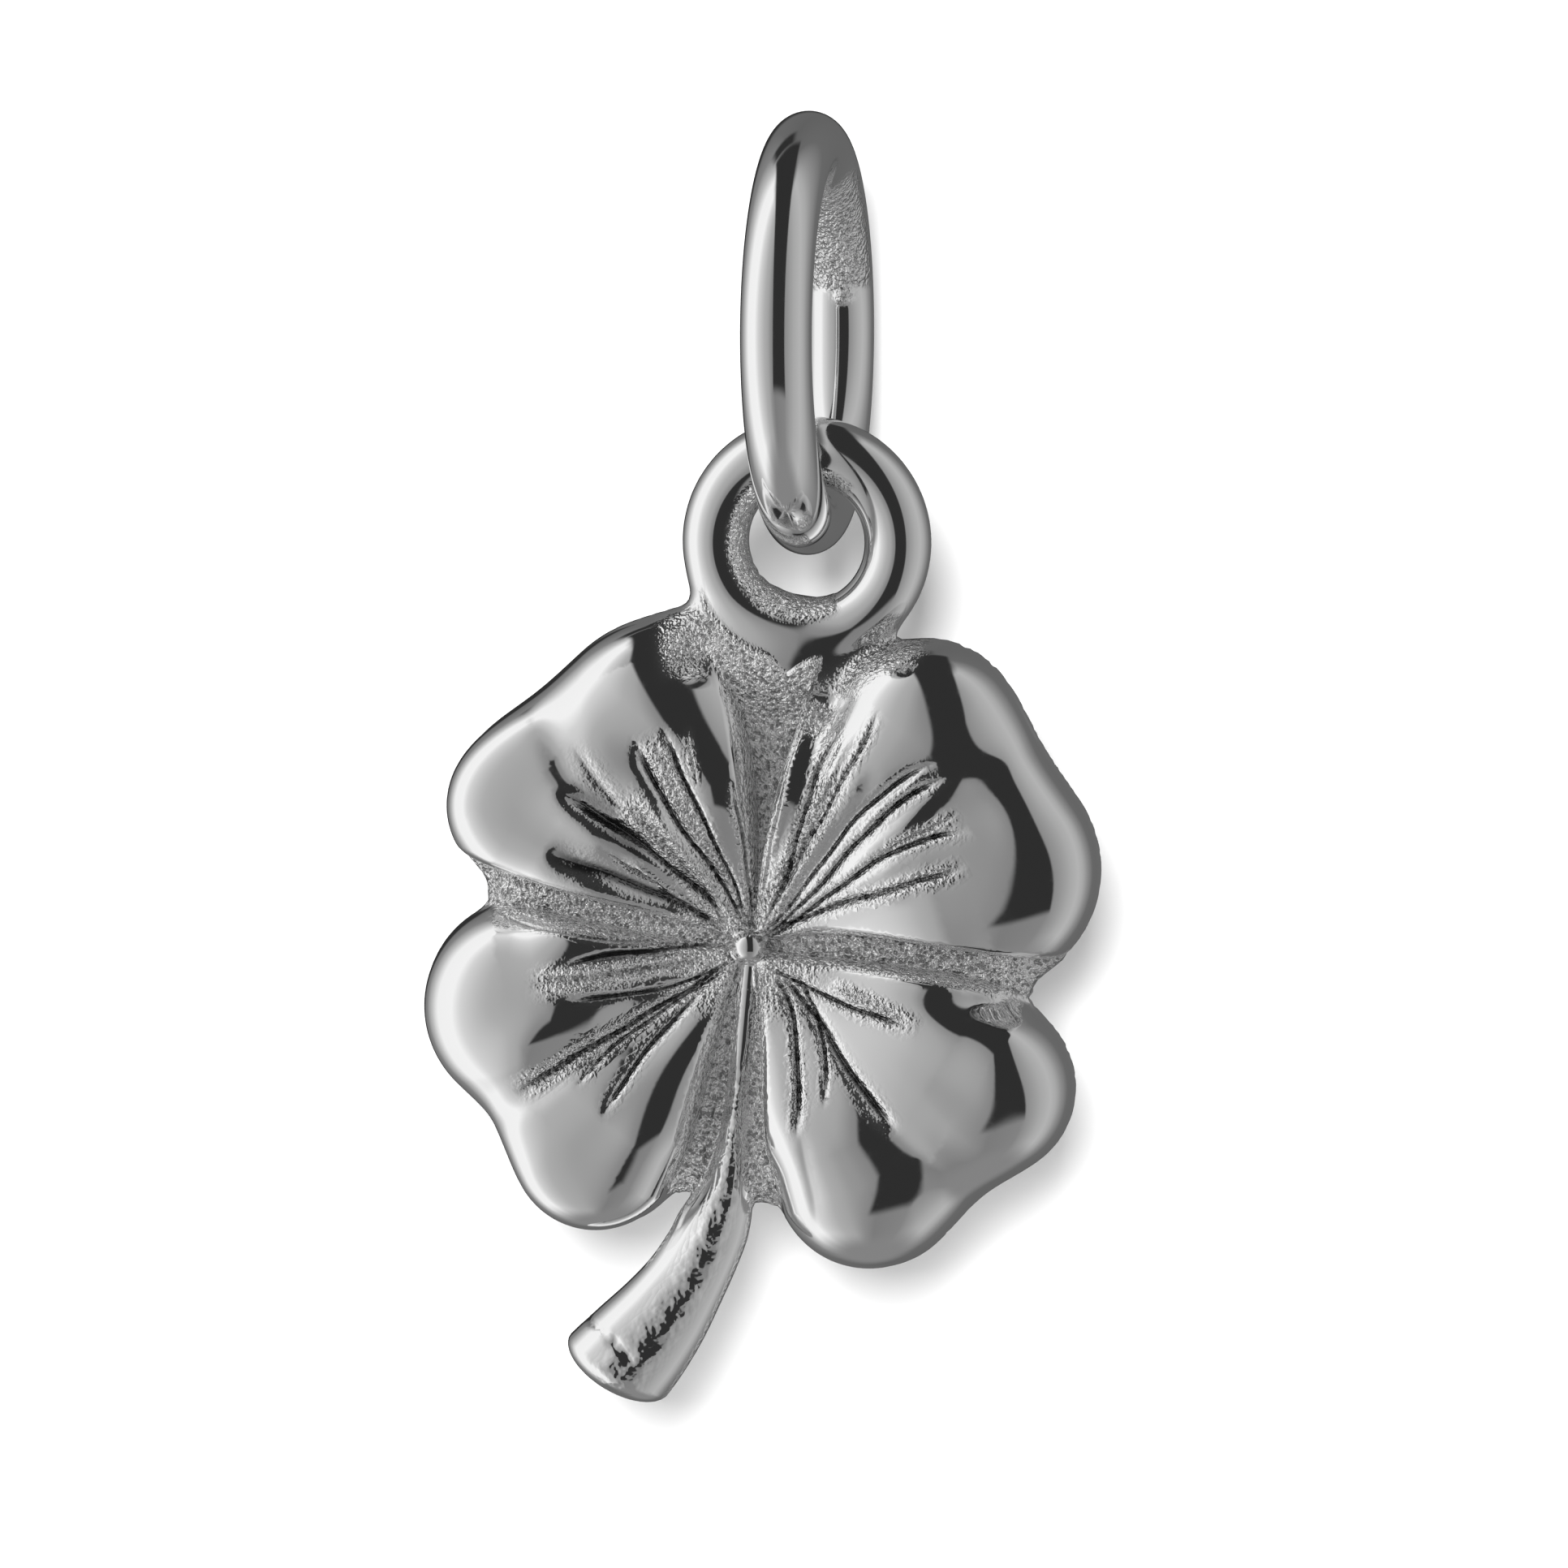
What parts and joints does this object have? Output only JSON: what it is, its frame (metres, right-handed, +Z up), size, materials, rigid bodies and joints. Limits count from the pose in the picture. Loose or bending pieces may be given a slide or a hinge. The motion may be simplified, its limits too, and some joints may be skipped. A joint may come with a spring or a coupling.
{
  "type": "four leaf clover pendant",
  "caption": "Cast four leaf clover charm with domed, veined leaves, a short stem and an eyelet, hanging free on a soldered jump ring.",
  "frame": {"origin": "where a chain bears on the inside of the jump ring, at its top", "axes": "+Z up along the hanging pendant, the clover's face looks towards -Y, +X to the wearer's left, along the chain"},
  "size_m": [0.011, 0.007, 0.0209],
  "materials": {
    "polished_silver": "drawn round wire, mirror polished, with a fine solder seam",
    "cast_silver": "cast and polished on the domes, left grainy and darker in the grooves and veins"
  },
  "bodies": {
    "ring": {"jump_ring": "polished_silver"},
    "charm": {"clover_charm": "cast_silver"}
  },
  "joints": [
    {"name": "charm_swing", "type": "hinge", "parent": "ring", "child": "charm", "pos_m": [0, 0, -0.00535], "axis": [0, 1, 0], "range_deg": [-110, 110]}
  ]
}
